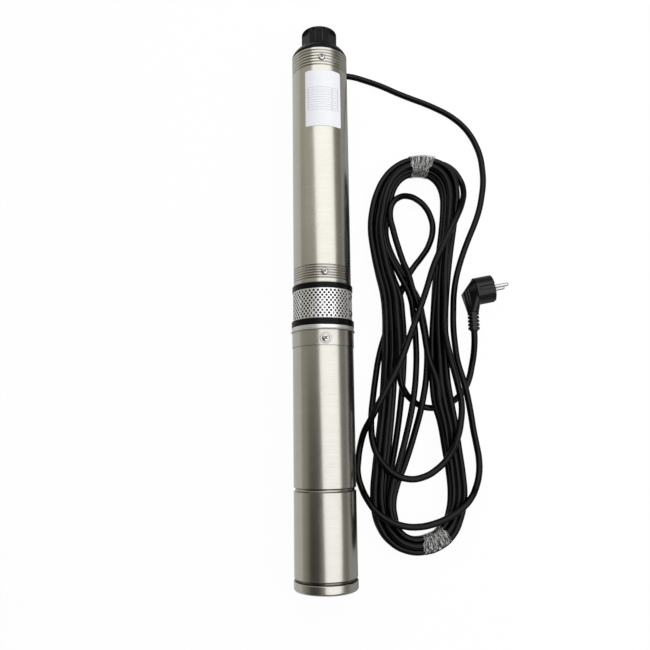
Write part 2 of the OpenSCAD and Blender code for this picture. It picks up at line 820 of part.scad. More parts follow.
module cable_gland() {
    color(rubber) lay() translate([0, lead_r, 0])
        ring(r_cord + 0.1, gland_r - 0.05, z_mouth - 3.9, z_screen + 1);
}

// The lead rises from the gland, swings out through the seam of the screen and runs under the guard
module motor_lead() {
    z0 = z_screen + 2;
    z1 = z_sleeve + 6;
    swing = [for (i = [0:8]) let (t = i / 8)
        [0, lead_r + (guard_c - lead_r) * t * t * (3 - 2 * t), z0 + (z1 - z0) * t]];
    color(rubber) lay() tube(concat([[0, lead_r, z_mouth - 3.5]], swing, [[0, guard_c, z_guard_end]]),
                             r_cord, 12, [1, 0, 0]);
}

module guard_2d() {
    foot = r_sleeve + 0.2;
    translate([-guard_out, foot]) square([2 * guard_out, guard_c - foot]);
    translate([-guard_out, guard_c]) square([2 * guard_out, guard_out - 2]);
    translate([-guard_out + 2, guard_c]) square([2 * guard_out - 4, guard_out]);
    for (s = [-1, 1]) translate([s * (guard_out - 2), r_guard - 2]) circle(2);
}

module cable_guard() {
    foot_half = 14;
    rim = r_sleeve + 0.05;
    color(steel) lay() difference() {
        union() {
            translate([0, 0, z_guard]) linear_extrude(z_guard_end - z_guard) guard_2d();
            translate([0, 0, z_sleeve + 0.5]) linear_extrude(z_guard_end - z_sleeve - 0.5) intersection() {
                difference() {
                    circle(rim + guard_wall);
                    circle(rim);
                }
                translate([-foot_half, 0]) square([2 * foot_half, motor_d]);
            }
        }
        translate([-guard_in, 0, z_guard - 1])
            cube([2 * guard_in, guard_c + guard_in, z_guard_end]);
        for (s = [-1, 1]) for (z = guard_screw_levels)
            outward(180 + s * guard_screw_turn, z) cylinder(r = shank_r + 0.2, h = motor_d);
    }
}

// Loose cable, hank and ties

module cord_run() {
    color(rubber) tube(run_points, r_cord, 10, [0, 0, 1]);
}

module cord_plug_lead() {
    color(rubber) tube(plug_points, r_cord, 10, [0, 0, 1]);
}

module cord_hank() {
    color(rubber) linear_extrude(hank_h) difference() {
        polygon(hank_outer);
        polygon(hank_inner);
    }
}

// A film tie over the hank, open towards the floor
module film_tie(tie) {
    side = tie[3] + tie_gap;
    translate([tie[0], tie[1], 0]) rotate([0, 0, tie[2]]) difference() {
        translate([-tie_len / 2, -side - film_wall, 0])
            cube([tie_len, 2 * (side + film_wall), hank_h + tie_gap + film_wall]);
        translate([-tie_len, -side, -1]) cube([2 * tie_len, 2 * side, hank_h + tie_gap + 1]);
    }
}

module film_ties() {
    color(film) for (tie = [top_tie, low_tie]) film_tie(tie);
}

// Plug

module plug_frame() {
    translate([plug_at[0], plug_at[1], plug_d / 2]) rotate([0, 0, plug_turn]) children();
}

clip_w = 6;
clip_wall = 1;
clip_len = 17;

// Base of the boot, with Z along the cable
module boot_frame() {
    translate([-cord_back, -boot_start, 0]) rotate([90, 0, -boot_bend]) children();
}

module plug_body() {
    back_h = 18;
    grip_len = 26;
    color(black) plug_frame() difference() {
        union() {
            rotate([0, -90, 0]) cylinder(d = plug_d, h = plug_len);
            hull() {
                translate([-plug_len + 3, 0, 0]) rotate([0, -90, 0])
                    cylinder(d = plug_d - 2, h = 3, $fn = 32);
                translate([-back_x, 0.3, -back_h / 2]) cylinder(r = 1.5, h = back_h, $fn = 12);
                boot_frame() translate([0, 0, -4]) cylinder(r = boot_r, h = 4, $fn = 32);
            }
        }
        for (s = [-1, 1]) for (i = [0:1]) scale([1, 1, s])
            translate([-back_x + 1.2 + i * 2.8, 4 - grip_len, back_h / 2 - 2.6 + i * 1.6])
            rotate([7.6, 0, 0]) cube([1.3, grip_len, back_h]);
        for (s = [-1, 1]) translate([-plug_len + 4, -2.5, s * (plug_d / 2 - 1) - 1.5]) cube([plug_len, 5, 3]);
        for (s = [-1, 1]) translate([-clip_len, s * (plug_d / 2 - 1.8) - 1.8, -clip_w / 2 - 0.1])
            cube([clip_len + 1, 3.6, clip_w + 0.2]);
        for (s = [-1, 1]) translate([-pin_root, 0, s * pin_gap / 2]) rotate([0, 90, 0])
            cylinder(d = pin_d - 1, h = pin_root + 1);
    }
}

module plug_boot() {
    ribs = 5;
    spine_w = 6;
    pitch = boot_len / ribs;
    color(rubber) plug_frame() boot_frame() difference() {
        union() {
            cylinder(r = boot_r - 2, h = boot_len);
            for (i = [0:ribs - 1]) translate([0, 0, i * pitch + 0.02]) cylinder(r = boot_r, h = pitch * 0.6);
            translate([-spine_w / 2, -boot_r + 0.4, 0.02]) cube([spine_w, 2 * boot_r - 0.8, boot_len - 0.02]);
        }
        translate([0, 0, boot_len - boot_seat]) cylinder(r = r_cord + 0.15, h = boot_seat + 1);
    }
}

module plug_contacts() {
    pin_r = pin_d / 2 - 0.02;
    neck_r = pin_r - 0.5;
    color(steel) plug_frame() {
        for (s = [-1, 1]) translate([0, 0, s * pin_gap / 2]) rotate([0, 90, 0]) rotate_extrude()
            polygon([[0, 0.1 - pin_root], [neck_r, 0.1 - pin_root], [neck_r, pin_neck], [pin_r, pin_neck],
                     [pin_r, pin_len - pin_tip], [pin_r - 1, pin_len], [0, pin_len]]);
        for (s = [-1, 1]) translate([-clip_len + 0.05, s * (plug_d / 2 - 2.9) - clip_wall / 2, -clip_w / 2])
            cube([clip_len, clip_wall, clip_w]);
    }
}

bottom_cap();
motor_shell();
run_capacitor();
diaphragm();
lower_bracket();
o_rings();
stator_core();
stator_winding();
rotor_core();
rotor_cage();
motor_shaft();
lower_race_outer();
lower_race_inner();
upper_race_outer();
upper_race_inner();
bearing_balls();
top_bracket();
motor_screws();
shaft_seal();
sand_slinger();
intake_bracket();
bracket_bolts();
intake_screen();
pan_screws();
coupling();
pump_shaft();
pump_sleeve();
bearing_spider();
bearing_bush();
discharge_head();
valve_seat();
valve_poppet();
cable_gland();
motor_lead();
cable_guard();
plug_body();
plug_boot();
plug_contacts();
cord_run();
cord_hank();
cord_plug_lead();
film_ties();
for (i = [1:stage_count]) {
    impeller(i);
    diffuser(i);
}
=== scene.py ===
import json
import math
import bpy
from mathutils import Matrix, Vector


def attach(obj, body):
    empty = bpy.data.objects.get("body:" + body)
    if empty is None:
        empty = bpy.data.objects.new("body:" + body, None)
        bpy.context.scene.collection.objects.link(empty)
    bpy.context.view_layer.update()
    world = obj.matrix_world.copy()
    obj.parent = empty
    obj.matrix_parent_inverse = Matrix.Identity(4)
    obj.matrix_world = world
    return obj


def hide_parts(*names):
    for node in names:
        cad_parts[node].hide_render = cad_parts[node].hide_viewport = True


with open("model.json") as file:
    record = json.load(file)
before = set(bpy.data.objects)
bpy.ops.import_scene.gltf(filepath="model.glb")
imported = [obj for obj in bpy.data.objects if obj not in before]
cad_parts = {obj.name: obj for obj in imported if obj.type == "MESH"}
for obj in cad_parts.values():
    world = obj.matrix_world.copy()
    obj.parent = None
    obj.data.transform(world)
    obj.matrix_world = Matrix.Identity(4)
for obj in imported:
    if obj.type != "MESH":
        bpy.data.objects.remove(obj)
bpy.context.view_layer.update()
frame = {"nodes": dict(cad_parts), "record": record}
nodes = frame["nodes"]
scene = bpy.context.scene
mm = 0.001
print("frame loaded:", len(nodes), "nodes")

# Where the pump lies: its axis leans a little because it rests on its cap and its cable guard
pump = {"capRadius": 38.5, "guardRadius": 47.0, "guardStart": 328.9, "middle": 357.4855, "sleeveRadius": 36.5}
lean = math.atan((pump["guardRadius"] - pump["capRadius"]) / pump["guardStart"])
alongPump = Vector((0, math.cos(lean), math.sin(lean)))
abovePump = Vector((0, -math.sin(lean), math.cos(lean)))
pumpStart = Vector((0, -pump["middle"], pump["capRadius"] * math.cos(lean)))

# Camera, light and floor
view = {"place": (0.002765, -0.196191, 0.873091), "tilt": 10.716, "roll": -0.796, "nearest": 0.01,
        "sensor": 36, "focal": 666 / 650}  # focal length in picture widths
bpy.ops.object.camera_add(location=view["place"])
camera = bpy.context.object
camera.name = "photoCamera"
camera.rotation_mode = "ZYX"
camera.rotation_euler = (math.radians(view["tilt"]), 0, math.radians(view["roll"]))
camera.data.sensor_width = view["sensor"]
camera.data.lens = view["sensor"] * view["focal"]
camera.data.clip_start = view["nearest"]
scene.camera = camera
scene.view_settings.view_transform = "Standard"


class Wire:
    # a node's output; sums on it add Math nodes
    def __init__(self, bench, socket):
        self.bench = bench
        self.socket = socket

    def sum(self, kind, first, second):
        return self.bench.add("ShaderNodeMath", {"operation": kind}, {0: first, 1: second})

    def __add__(self, other):
        return self.sum("ADD", self, other)

    def __radd__(self, other):
        return self.sum("ADD", other, self)

    def __sub__(self, other):
        return self.sum("SUBTRACT", self, other)

    def __rsub__(self, other):
        return self.sum("SUBTRACT", other, self)

    def __mul__(self, other):
        return self.sum("MULTIPLY", self, other)

    def __truediv__(self, other):
        return self.sum("DIVIDE", self, other)

    def __pow__(self, other):
        return self.sum("POWER", self, other)

    def over(self, level):
        return self.sum("GREATER_THAN", self, level)

    def least(self, other):
        return self.sum("MINIMUM", self, other)

    def most(self, other):
        return self.sum("MAXIMUM", self, other)

    def twin(self, output):
        # another output of the same node
        return Wire(self.bench, self.socket.node.outputs[output])


class Bench:
    # a material's or the world's node tree
    def __init__(self, owner):
        owner.use_nodes = True
        self.tree = owner.node_tree
        self.tree.nodes.clear()

    def add(self, kind, settings=None, feeds=None, out=0):
        # a new node: its settings, what feeds its inputs, and which output to hand back
        node = self.tree.nodes.new(kind)
        for name, value in (settings or {}).items():
            if name == "stops":
                ramp = node.color_ramp.elements
                while len(ramp) < len(value):
                    ramp.new(0.5)
                for stop, (place, level) in zip(ramp, value):
                    stop.position = place
                    stop.color = (level, level, level, 1)
            else:
                setattr(node, name, value)
        for name, value in (feeds or {}).items():
            if isinstance(value, Wire):
                self.tree.links.new(value.socket, node.inputs[name])
            else:
                node.inputs[name].default_value = value
        return Wire(self, node.outputs[out]) if node.outputs else None

    def place(self, turn=(0, 0, 0), stretch=(1, 1, 1)):
        where = self.add("ShaderNodeTexCoord", out="Object")
        return self.add("ShaderNodeMapping", {}, {"Vector": where, "Rotation": turn, "Scale": stretch})

    def noise(self, where, scale, detail=3.0, rough=0.55):
        feeds = {"Vector": where, "Scale": scale, "Detail": detail, "Roughness": rough}
        return self.add("ShaderNodeTexNoise", {}, feeds)

    def ramp(self, fac, *stops):
        return self.add("ShaderNodeValToRGB", {"stops": stops}, {"Fac": fac})

    def blend(self, fac, first, second):
        # 6 and 7 are the node's colour inputs, 2 its colour output
        return self.add("ShaderNodeMix", {"data_type": "RGBA"}, {0: fac, 6: first, 7: second}, out=2)

    def bump(self, height, strength, distance, rounding=0.0004):
        worn = self.add("ShaderNodeBevel", {"samples": 4}, {"Radius": rounding})
        feeds = {"Height": height, "Strength": strength, "Distance": distance, "Normal": worn}
        return self.add("ShaderNodeBump", {}, feeds)

    def recessShade(self, reach=0.003):
        # 0 in seams and recesses, 1 on open faces: the mask for painted shade in recesses
        near = self.add("ShaderNodeAmbientOcclusion", {"samples": 12}, {"Distance": reach}, out="AO")
        return self.ramp(near, (0.5, 0.0), (0.93, 1.0))

    def edges(self, radius, start=0.03, full=0.2):
        # 1 along sharp edges, 0 on faces
        rounded = self.add("ShaderNodeBevel", {"samples": 6}, {"Radius": radius})
        flat = self.add("ShaderNodeNewGeometry", out="Normal")
        pair = {0: rounded, 1: flat}
        turned = self.add("ShaderNodeVectorMath", {"operation": "DOT_PRODUCT"}, pair, out="Value")
        return self.ramp(1 - turned, (start, 0.0), (full, 1.0))

    def outside(self, edge, soft):
        # 0 nearer the pump's axis than the edge, in mm, 1 beyond it; used to paint shade into groove bottoms
        # and hole walls
        height = pumpStart.dot(abovePump) * mm
        spot = self.add("ShaderNodeMapping", {}, {"Vector": self.add("ShaderNodeTexCoord", out="Object"),
                                                  "Rotation": (-lean, 0, 0), "Location": (0, 0, -height)})
        side = self.add("ShaderNodeSeparateXYZ", {}, {0: spot})
        rise = side.twin("Z")
        radius = (side * side + rise * rise) ** 0.5 / mm
        return self.ramp((radius - edge) / soft, (0.0, 0.0), (1.0, 1.0))

    def finish(self, shader):
        self.add("ShaderNodeOutputMaterial", {}, {"Surface": shader})


def shade(tone, gain=1):
    return tuple(min(1, part * gain) for part in tone) + (1,)


def principled(bench, feeds):
    bench.finish(bench.add("ShaderNodeBsdfPrincipled", {}, feeds))


def newFinish(name):
    material = bpy.data.materials.new(name)
    return material, Bench(material)


studio = {"boxSize": (2.24, 3.4), "boxPlace": (0.75, 0.41, 1.3), "boxTurn": 21, "boxPower": 38,
          "boxTint": (0.965, 0.975, 1.04), "roomTint": (1, 0.975, 0.88), "left": 0.42, "right": 0.25}
bpy.ops.object.light_add(type="AREA", location=studio["boxPlace"])
softBox = bpy.context.object
softBox.name = "softBox"
softBox.data.shape = "RECTANGLE"
softBox.data.size, softBox.data.size_y = studio["boxSize"]
softBox.data.energy = studio["boxPower"]
softBox.data.color = studio["boxTint"]
softBox.rotation_euler = (0, 0, math.radians(studio["boxTurn"]))

# The room round the box: dark overhead near the viewer, lighter beyond and to the left
scene.world = bpy.data.worlds.new("studioRoom")
room = Bench(scene.world)
way = room.add("ShaderNodeSeparateXYZ", {}, {0: room.add("ShaderNodeTexCoord")})
across, along = way * 0.5 + 0.5, way.twin("Y") * 0.5 + 0.5  # from -1 to 1 into 0 to 1
overhead = room.ramp(along, (0.44, 0.07), (0.475, 0.13), (0.515, 0.2), (0.57, 0.4), (0.655, 0.6),
                     (0.725, 0.55))
leftSide = room.ramp(across, (0.01, 1.0), (0.1, 0.0))
rightSide = room.ramp(across, (0.29, 0.0), (0.38, 1.0))
walls = room.blend(leftSide, overhead, shade((studio["left"],) * 3))
walls = room.blend(rightSide, walls, shade((studio["right"],) * 3))
walls = room.add("ShaderNodeVectorMath", {"operation": "MULTIPLY"}, {0: walls, 1: studio["roomTint"]})
seen = room.add("ShaderNodeLightPath")  # the camera sees plain white
roomShade = room.blend(seen, walls, (1, 1, 1, 1))
room.add("ShaderNodeOutputWorld", {}, {"Surface": room.add("ShaderNodeBackground", {}, {"Color": roomShade})})

ground = {"size": 14, "drop": 0.0004, "spread": 5, "camera": 0.96, "gloss": 0.85, "glass": 0.94}
bpy.ops.mesh.primitive_plane_add(size=ground["size"], location=(0, 0, -ground["drop"]))
floor = bpy.context.object
floor.name = "studioFloor"
floorFinish, table = newFinish("paleFloor")
path = table.add("ShaderNodeLightPath")
toCamera = path.twin("Is Camera Ray")
toGloss = path.twin("Is Glossy Ray")
toGlass = path.twin("Is Transmission Ray")
paper = table.noise(table.place(), 40.0)
matt = table.add("ShaderNodeBsdfDiffuse", {}, {"Color": table.ramp(paper, (0.3, 0.93), (0.7, 0.97))})
sideways = table.add("ShaderNodeSeparateXYZ", {}, {0: table.place()}) * ground["spread"] + 0.5
# What shiny sides see of the floor, from left to right: painted shade, lighter on the left, a dark strip
# along the pump's right side as a painted contact shadow
paintedFloorShade = table.ramp(sideways, (0.4, 0.72), (0.62, 0.34), (0.68, 0.05), (0.76, 0.05), (0.88, 0.34))
glowTone = table.blend(toGloss, (1, 1, 1, 1), paintedFloorShade)
glow = table.add("ShaderNodeEmission", {}, {"Color": glowTone, "Strength": 1.0})
share = toCamera * ground["camera"] + toGloss * ground["gloss"] + toGlass * ground["glass"]
table.finish(table.add("ShaderNodeMixShader", {}, {0: share, 1: matt, 2: glow}))
floor.data.materials.append(floorFinish)
print("studio set")

# Finishes
# Colours of marks: stain, scuff and dust are the things' own; the pale grey is a painted highlight on edges
wearAndSheenTone = {"stain": (0.33, 0.31, 0.27), "scuff": (0.07, 0.07, 0.072), "edgeSheen": (0.42, 0.42, 0.43),
            "dust": (0.06, 0.06, 0.06)}


def brushedFinish(name, tone, rough, depth=0.05, lines=2400, edge=None, metal=1.0, reach=0.003, rimShade=None):
    material, bench = newFinish(name)
    where = bench.place(turn=(-lean, 0, 0))
    streak = bench.noise(bench.place(turn=(-lean, 0, 0), stretch=(30, lines, 30)), 1.0, 4.0, 0.6)
    coarse = bench.noise(bench.place(turn=(-lean, 0, 0), stretch=(12, lines / 7, 12)), 1.0, 3.0)
    smudge = bench.noise(where, 17.0, 5.0, 0.6)
    stain = bench.ramp(bench.noise(where, 55.0, 6.0, 0.7), (0.58, 0.0), (0.78, 1.0))
    mix = streak * 0.5 + coarse * 0.15 + smudge * 0.35
    colour = bench.blend(bench.ramp(mix, (0.34, 0.0), (0.66, 1.0)), shade(tone, 0.9), shade(tone, 1.06))
    colour = bench.blend(stain * 0.12, colour, shade(wearAndSheenTone["stain"]))
    # Painted shade: the colour turns dark in seams and recesses, where shade falls
    clear = bench.recessShade(reach)
    # Painted shade: nearer the axis than the edge radius, in the sleeve's grooves and the screen's holes, the
    # colour turns dark
    if edge:
        clear = clear * bench.outside(*edge)
    # Painted shade: a thin dark line along sharp rims, such as hole edges and screw outlines
    if rimShade:
        clear = clear * (1 - bench.edges(rimShade, 0.003, 0.06))
    # The painted shade: where the mask falls to 0 the colour becomes a dark tone
    colour = bench.blend(clear, shade(tone, 0.08), colour)
    roughness = rough + streak * 0.06 + smudge * 0.1 + stain * 0.06 - 0.08
    principled(bench, {"Base Color": colour, "Metallic": metal, "Roughness": roughness,
                       "Normal": bench.bump(streak * 0.7 + coarse * 0.3, depth, 0.0003)})
    return material


# wear sets how strongly sharp edges get a painted highlight
def mouldedFinish(name, tone, rough, grain=900.0, depth=0.12, scuffs=0.5, shine=0.22, wear=0.3):
    material, bench = newFinish(name)
    where = bench.place()
    pits = bench.noise(where, grain, 3.0, 0.6)
    cloud = bench.noise(where, 38.0, 4.0)
    scratches = bench.noise(bench.place(stretch=(1, 0.25, 1)), 160.0, 6.0, 0.72)
    scuff = bench.ramp(scratches, (0.6, 0.0), (0.74, 1.0))
    colour = bench.blend(bench.ramp(cloud, (0.3, 0.0), (0.7, 1.0)), shade(tone, 0.72), shade(tone, 1.35))
    colour = bench.blend(scuff * (0.22 * scuffs), colour, shade(wearAndSheenTone["scuff"]))
    # Painted highlight: sharp edges turn pale grey in patches, standing in for light caught along rib edges
    edgeSheen = bench.edges(0.0007) * bench.ramp(cloud, (0.35, 0.45), (0.6, 1.0))
    colour = bench.blend(edgeSheen * wear, colour, shade(wearAndSheenTone["edgeSheen"]))
    principled(bench, {"Base Color": colour, "Roughness": rough + cloud * 0.16 + scuff * 0.12 - 0.08,
                       "Specular IOR Level": shine,
                       "Normal": bench.bump(pits + scuff * 0.3, depth, 0.0004, 0.0007)})
    return material


def rubberFinish(name, tone, rough):
    material, bench = newFinish(name)
    where = bench.place()
    grain = bench.noise(where, 1400.0, 2.0)
    cloud = bench.noise(where, 60.0, 4.0)
    dust = bench.ramp(bench.noise(where, 210.0, 6.0, 0.7), (0.57, 0.0), (0.75, 1.0))
    colour = bench.blend(bench.ramp(cloud, (0.3, 0.0), (0.7, 1.0)), shade(tone, 0.7), shade(tone, 1.4))
    colour = bench.blend(dust * 0.02, colour, shade(wearAndSheenTone["dust"]))
    principled(bench, {"Base Color": colour, "Roughness": rough + cloud * 0.12 + dust * 0.12 - 0.07,
                       "Specular IOR Level": 0.18, "Normal": bench.bump(grain, 0.05, 0.0003)})
    return material


def laminatedFinish(name, tone):
    material, bench = newFinish(name)
    stack = bench.noise(bench.place(turn=(-lean, 0, 0), stretch=(2, 1800, 2)), 1.0, 2.0)
    cloud = bench.noise(bench.place(), 45.0, 4.0)
    colour = bench.blend(bench.ramp(stack, (0.42, 0.0), (0.58, 1.0)), shade(tone, 0.55), shade(tone, 1.15))
    principled(bench, {"Base Color": colour, "Metallic": 0.7, "Roughness": 0.4 + cloud * 0.25,
                       "Normal": bench.bump(stack, 0.3, 0.0004)})
    return material


def castFinish(name, tone, metal, rough, grain):
    material, bench = newFinish(name)
    where = bench.place()
    pits = bench.noise(where, grain, 5.0, 0.65)
    cloud = bench.noise(where, 50.0, 4.0)
    mottle = bench.ramp(pits * 0.6 + cloud * 0.4, (0.35, 0.0), (0.65, 1.0))
    colour = bench.blend(mottle, shade(tone, 0.7), shade(tone, 1.2))
    principled(bench, {"Base Color": colour, "Metallic": metal, "Roughness": rough + cloud * 0.2 - 0.1,
                       "Normal": bench.bump(pits, 0.25, 0.0005)})
    return material


def woundFinish(name, tone):
    material, bench = newFinish(name)
    strands = bench.add("ShaderNodeTexWave", {"bands_direction": "X"},
                        {"Vector": bench.place(), "Scale": 420.0, "Distortion": 3.0, "Detail": 2.0})
    height = bench.add("ShaderNodeRGBToBW", {}, {0: strands})
    colour = bench.blend(height, shade(tone, 0.45), shade(tone, 1.1))
    principled(bench, {"Base Color": colour, "Metallic": 0.9, "Roughness": 0.3 + height * 0.15,
                       "Normal": bench.bump(height, 0.5, 0.0006)})
    return material


filmLook = {"dull": (0.2, 0.2, 0.19), "pale": (0.82, 0.82, 0.79), "clear": 0.06, "milky": 0.8}


def filmFinish(name):
    material, bench = newFinish(name)
    chart = bench.add("ShaderNodeUVMap", {"uv_map": "filmMap"})
    pleatChart = bench.add("ShaderNodeMapping", {}, {"Vector": chart, "Scale": (26, 9, 1)})
    patchChart = bench.add("ShaderNodeMapping", {}, {"Vector": chart, "Scale": (7, 12, 1)})
    pleats = bench.noise(pleatChart, 1.0, 4.0, 0.6)
    wide = bench.noise(patchChart, 1.0, 3.0)
    fine = bench.noise(bench.place(), 500.0, 4.0, 0.65)
    crease = bench.ramp(pleats * 0.85 + fine * 0.15, (0.42, 0.0), (0.6, 1.0))
    patch = bench.ramp(wide, (0.36, 0.15), (0.62, 1.0))
    principled(bench, {"Base Color": bench.blend(crease, shade(filmLook["dull"]), shade(filmLook["pale"])),
                       "Alpha": filmLook["clear"] + crease * patch * filmLook["milky"],
                       "Roughness": 0.14 + fine * 0.2, "IOR": 1.5,
                       "Normal": bench.bump(pleats * 0.7 + fine * 0.3, 0.8, 0.0012)})
    return material


# An empty ruled table on white paper; places are shares of the label's width and height
labelLook = {"left": 0.07, "right": 0.93, "bottom": 0.29, "top": 0.692, "row": 0.0441, "rule": 0.11,
             "posts": (0.075, 0.925, 0.76), "post": 0.00003, "ink": (0.2, 0.21, 0.24), "inked": 0.75,
             "paper": (0.82, 0.825, 0.84), "palest": (0.87, 0.875, 0.885)}  # post is half its width, squared


def labelFinish(name):
    material, bench = newFinish(name)
    chart = bench.add("ShaderNodeUVMap", {"uv_map": "labelMap"})
    u = bench.add("ShaderNodeSeparateXYZ", {}, {0: chart})
    v = u.twin("Y")
    look = labelLook
    inside = u.over(look["left"]) * (1 - u.over(look["right"]))
    inside = inside * v.over(look["bottom"]) * (1 - v.over(look["top"]))
    rows = bench.add("ShaderNodeMath", {"operation": "FRACT"}, {0: (v - look["bottom"]) / look["row"]})
    rules = (1 - rows.over(look["rule"])) * inside
    left, right, middle = [(u - post) * (u - post) for post in look["posts"]]
    posts = left.least(right).least(middle)
    lines = rules.most((1 - posts.over(look["post"])) * inside)
    fibre = bench.noise(bench.place(), 900.0, 4.0)
    wear = bench.noise(bench.place(), 70.0, 5.0)
    paper = bench.blend(wear, shade(look["paper"]), shade(look["palest"]))
    colour = bench.blend(lines * look["inked"], paper, shade(look["ink"]))
    principled(bench, {"Base Color": colour, "Roughness": 0.34 + wear * 0.14,
                       "Normal": bench.bump(fibre, 0.05, 0.0002)})
    return material


finishes = {
    # Painted shade: recesses darken on all brushed steel, groove bottoms on the sleeve, hole walls and hole
    # rims on the screen, and rims on bright steel
    "stainless": brushedFinish("stainlessTube", (0.505, 0.491, 0.43), 0.23, reach=0.008),
    "sleeve": brushedFinish("stainlessSleeve", (0.535, 0.517, 0.45), 0.25, edge=(35.6, 0.76)),
    "screen": brushedFinish("stainlessScreen", (0.86, 0.85, 0.825), 0.4, 0.04, edge=(37.05, 0.2), metal=0.8,
                            rimShade=0.0008),
    "flange": brushedFinish("stainlessFlange", (0.72, 0.71, 0.67), 0.34, 0.03, metal=0.8),
    "bright": brushedFinish("brightSteel", (0.58, 0.57, 0.54), 0.24, 0.03, reach=0.004, rimShade=0.0004),
    "black": mouldedFinish("blackMoulding", (0.0026, 0.0028, 0.003), 0.25, 900.0, 0.06, 0.12, 0.1, 0.5),
    "plug": mouldedFinish("plugMoulding", (0.0026, 0.0028, 0.0034), 0.26, 700.0, 0.05, 0.15, 0.32, 0.08),
    "cable": rubberFinish("cableJacket", (0.0008, 0.0009, 0.0011), 0.17),
    "seal": rubberFinish("sealRubber", (0.02, 0.02, 0.02), 0.55),
    "core": laminatedFinish("coreSheets", (0.42, 0.42, 0.44)),
    "casting": castFinish("greyCasting", (0.36, 0.37, 0.39), 0.6, 0.5, 700.0),
    "copper": woundFinish("copperWire", (0.74, 0.4, 0.2)),
    "aluminium": castFinish("castAluminium", (0.72, 0.73, 0.75), 1.0, 0.4, 500.0),
    "cream": mouldedFinish("impellerMoulding", (0.78, 0.75, 0.66), 0.38, 800.0, 0.08, 0.2, 0.45),
    "can": castFinish("capacitorCan", (0.66, 0.66, 0.68), 1.0, 0.35, 300.0),
    "film": filmFinish("clearFilm"),
    "label": labelFinish("whiteLabel"),
}
slotFinish = {"stainless": "stainless", "bright_steel": "bright", "black_plastic": "black",
              "cable_rubber": "cable", "seal_rubber": "seal", "core_steel": "core", "casting": "casting",
              "copper": "copper", "cage_aluminium": "aluminium", "impeller_plastic": "cream",
              "film": "film", "capacitor_case": "can"}
ownFinish = {"pump_sleeve": "sleeve", "intake_screen": "screen", "top_bracket": "flange", "plug_body": "plug",
             "plug_boot": "plug"}
for part in frame["record"]["subparts"]:
    name = part["node"]
    coat = finishes[ownFinish.get(name, slotFinish[part["material_slot"]])]
    skin = nodes[name].data.materials
    skin.clear()
    skin.append(coat)
print("finishes on", len(nodes), "nodes")


# Making pieces
def deselect():
    if bpy.context.object and bpy.context.object.mode != "OBJECT":
        bpy.ops.object.mode_set(mode="OBJECT")
    bpy.ops.object.select_all(action="DESELECT")


def pick(piece):
    deselect()
    piece.select_set(True)
    bpy.context.view_layer.objects.active = piece


def applyAll(piece):
    # its place and its modifiers go into its mesh
    pick(piece)
    bpy.ops.object.transform_apply(location=True, rotation=True, scale=True)
    for modifier in list(piece.modifiers):
        bpy.ops.object.modifier_apply(modifier=modifier.name)


def settle(piece, name, coat, sharp=40):
    # edges turned by more than sharp degrees stay crisp
    applyAll(piece)
    piece.name = name
    piece.data.materials.clear()
    piece.data.materials.append(finishes[coat])
    bpy.ops.object.shade_smooth_by_angle(angle=math.radians(sharp))
    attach(piece, "pump")
    return piece


def copyNode(name, weld=0.00002):
    # a free copy of a frame node, without the frame's own marks
    deselect()
    piece = nodes[name].copy()
    piece.data = nodes[name].data.copy()
    for key in list(piece.keys()):
        del piece[key]
    piece.parent = None
    scene.collection.objects.link(piece)
    pick(piece)
    bpy.ops.object.mode_set(mode="EDIT")
    bpy.ops.mesh.select_all(action="SELECT")
    bpy.ops.mesh.remove_doubles(threshold=weld)
    bpy.ops.object.mode_set(mode="OBJECT")
    return piece


# The cable: loose run from the guard, the hank's turns, then the loops back to the plug
lead = {"radius": 4.15, "floor": 4.2, "hop": 13.05, "on": 28.05, "layer": 7.4, "lift": 8.8,
        "exit": (0, 289.426, 13.492), "around": 4, "steps": 5}
low, hop, on = lead["floor"], lead["hop"], lead["on"]  # on the floor, over one strand, over the hank
looseRun = [
    lead["exit"], (0, 297, 13.3), (2, 306, 11.8), (7.5, 315.5, 9.3), (16, 323.5, 6.8), (28, 328.6, 5),
    (43, 328.5, low), (67, 321, low), (89, 312, low), (109, 302, low), (129, 293, low), (150, 284, low),
    (164, 277, low), (178, 269, low), (190, 260, low), (201, 249, low), (210, 236, low),
    (217, 221, low), (222, 204, low), (224, 185, low), (224, 166, low), (221, 146, low),
    (216, 125, low), (209, 106, low), (201, 88, low), (193, 69, low), (186, 50, low),
    (180, 30, low), (176, 9, low), (174, -14, low), (173, -37, low), (174, -61, low),
    (176, -83, 5.5), (180, -103, 9.5), (183, -119, hop), (186, -137, hop), (189, -154, 9.5),
    (192, -173, 5.5), (195, -191, low), (197, -209, 5), (195, -228, 9), (188, -245, 17),
    (181, -255, 24), (171, -265, on), (153, -277, on + 1.8), (134, -285, on + 1), (112, -289, on),
    (93, -287, on), (76, -280, on + 0.8), (62.5, -270, 27), (53, -257, 19), (46, -242, 9),
    (42, -225, 5), (43, -207, 4.8), (46, -189, 8), (51, -172, 17), (58, -159, 26),
    (66, -144, on + 5), (76, -126, on + 8), (88, -105, on + 8.5), (98, -86, on + 7), (110, -57, on + 2),
    (123, -25, on - 1), (135, 7, on - 1), (148, 45, on + 3), (163, 75, on + 7.5), (178, 104, on + 5.5),
    (189, 129, 25), (194, 151, 14), (190.5, 170, 8), (180, 186, 6), (164, 194, 6), (150, 196, 5)]
plugRun = [(162, -137.5, low), (173.5, -130.5, low), (183, -120, low), (190, -106, low), (194, -90, 6),
           (196.6, -73, 11), (197.2, -57, 16.5)]
